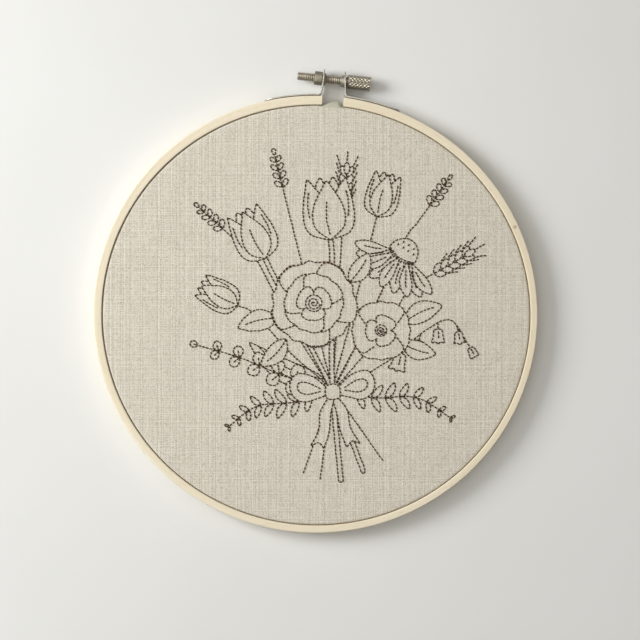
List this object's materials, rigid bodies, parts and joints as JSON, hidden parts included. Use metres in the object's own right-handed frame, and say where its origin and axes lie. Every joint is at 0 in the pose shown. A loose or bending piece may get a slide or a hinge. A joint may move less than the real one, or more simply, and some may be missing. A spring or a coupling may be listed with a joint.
{
  "type": "embroidery hoop with stitched linen cloth",
  "caption": "Round wooden screw hoop with a plain linen cloth stretched between its rings, stitched with flowers in brown thread.",
  "frame": {"origin": "under the middle of the whole, on the plane that the rings' backs rest on", "axes": "+Z out of the stitched face, +Y from the middle of the hoop to its screw"},
  "size_m": [0.2112, 0.221, 0.0095],
  "materials": {
    "outer_wood": "pale, bare, finely sanded",
    "inner_wood": "pale, bare, sawn",
    "linen": "natural plain weave with slubs",
    "thread": "dark brown stranded cotton",
    "bracket_steel": "nickel plated sheet",
    "screw_steel": "nickel plated, turned and knurled"
  },
  "bodies": {
    "hoop": {"outer_ring": "outer_wood", "inner_ring": "inner_wood", "linen_cloth": "linen", "left_bracket": "bracket_steel", "right_bracket": "bracket_steel", "clamp_nut": "screw_steel"},
    "screw": {"thumb_screw": "screw_steel"}
  },
  "joints": [
    {"name": "screw_turn", "type": "hinge", "parent": "hoop", "child": "screw", "pos_m": [0, 0.10565, 0.00475], "axis": [0.9995, -0.0332, 0], "continuous": true}
  ]
}
